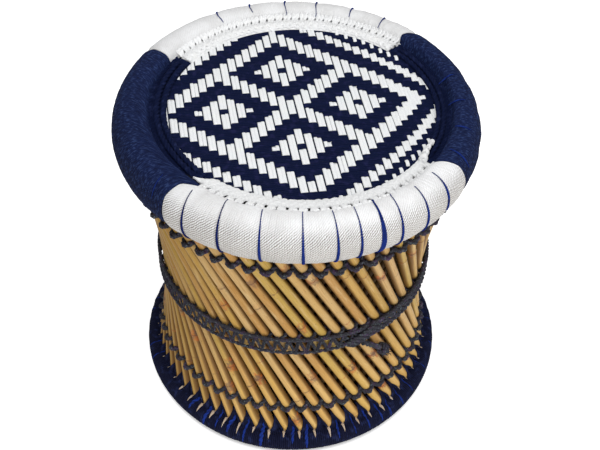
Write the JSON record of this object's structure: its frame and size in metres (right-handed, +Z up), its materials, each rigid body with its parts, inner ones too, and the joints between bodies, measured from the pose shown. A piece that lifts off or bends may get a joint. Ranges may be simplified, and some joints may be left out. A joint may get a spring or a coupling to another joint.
{
  "type": "woven cane stool",
  "caption": "Round hourglass stool of crossed leaning reeds, with a woven diamond-pattern cord seat, cord-wrapped rim and base, twined rows and a plaited waist belt.",
  "frame": {"origin": "centre of the base ring, on the floor plane", "axes": "+Z up along the stool's axis, -Y towards the side facing the camera, +X to the viewer's right"},
  "size_m": [0.3826, 0.3837, 0.3879],
  "materials": {
    "white_cord": "wound cotton-like cord, off-white, fine diagonal texture",
    "navy_cord": "wound cord, dark navy",
    "blue_cord": "thin bright blue cord",
    "seat_white": "flat woven cord, white",
    "seat_navy": "flat woven cord, navy",
    "braid_white": "braided cord, off-white",
    "braid_navy": "braided cord, navy",
    "reed_outer": "golden cane with nodes and rind marks",
    "reed_inner": "golden cane in shade",
    "twine": "two-ply grey cord",
    "belt": "plaited grey cord",
    "hoop": "bundled cane hoop, hidden"
  },
  "bodies": {
    "root": {"rim_wrap_front": "white_cord", "seat_braid_front": "braid_white", "rim_accent_cord_front": "blue_cord", "rim_wrap_right": "navy_cord", "seat_braid_right": "braid_navy", "rim_accent_cord_right": "blue_cord", "rim_wrap_back": "white_cord", "seat_braid_back": "braid_white", "rim_accent_cord_back": "blue_cord", "rim_wrap_left": "navy_cord", "seat_braid_left": "braid_navy", "rim_accent_cord_left": "blue_cord", "rim_core_hoop": "hoop", "seat_weft_sheet": "seat_navy", "seat_warp_sheet": "seat_white", "seat_braid_tip": "braid_white", "outer_reed_panel_01": "reed_outer", "inner_reed_panel_01": "reed_inner", "outer_reed_panel_02": "reed_outer", "inner_reed_panel_02": "reed_inner", "outer_reed_panel_03": "reed_outer", "inner_reed_panel_03": "reed_inner", "outer_reed_panel_04": "reed_outer", "inner_reed_panel_04": "reed_inner", "outer_reed_panel_05": "reed_outer", "inner_reed_panel_05": "reed_inner", "outer_reed_panel_06": "reed_outer", "inner_reed_panel_06": "reed_inner", "outer_reed_panel_07": "reed_outer", "inner_reed_panel_07": "reed_inner", "outer_reed_panel_08": "reed_outer", "inner_reed_panel_08": "reed_inner", "outer_reed_panel_09": "reed_outer", "inner_reed_panel_09": "reed_inner", "outer_reed_panel_10": "reed_outer", "inner_reed_panel_10": "reed_inner", "outer_reed_panel_11": "reed_outer", "inner_reed_panel_11": "reed_inner", "outer_reed_panel_12": "reed_outer", "inner_reed_panel_12": "reed_inner", "twine_upper": "twine", "twine_waist": "twine", "twine_lower": "twine", "waist_belt": "belt", "belt_tail": "belt", "belt_tail_knot": "belt", "base_wrap": "navy_cord", "base_core_hoop": "hoop", "base_accent_cord": "blue_cord"}
  },
  "joints": []
}
